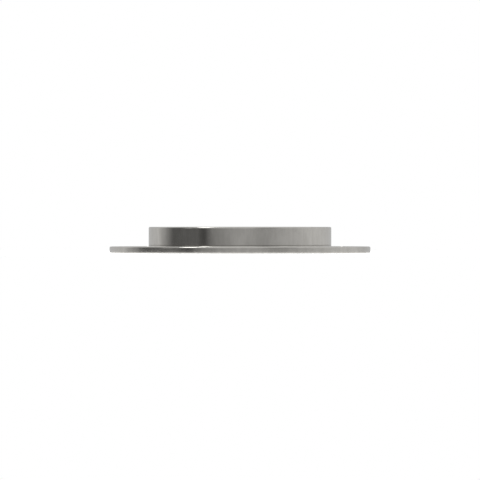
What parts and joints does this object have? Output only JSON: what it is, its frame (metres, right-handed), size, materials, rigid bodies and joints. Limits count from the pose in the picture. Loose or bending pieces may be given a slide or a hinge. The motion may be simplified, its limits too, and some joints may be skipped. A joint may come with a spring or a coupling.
{
  "type": "blind flange",
  "caption": "Round steel blind flange: a thin drilled flange plate with a thick raised sealing disc screwed to it.",
  "frame": {"origin": "centre of the flange plate's flat back, on the axis", "axes": "+Z along the flange's axis from the flat back towards the raised sealing face; +X through a screw, midway between two bolt holes"},
  "size_m": [0.2, 0.2, 0.02],
  "materials": {
    "plate_steel": "satin",
    "boss_steel": "satin",
    "screw_steel": "satin",
    "dowel_steel": "polished"
  },
  "bodies": {
    "root": {"flange_plate": "plate_steel", "boss_disc": "boss_steel", "boss_screws": "screw_steel", "dowel_pins": "dowel_steel"}
  },
  "joints": []
}
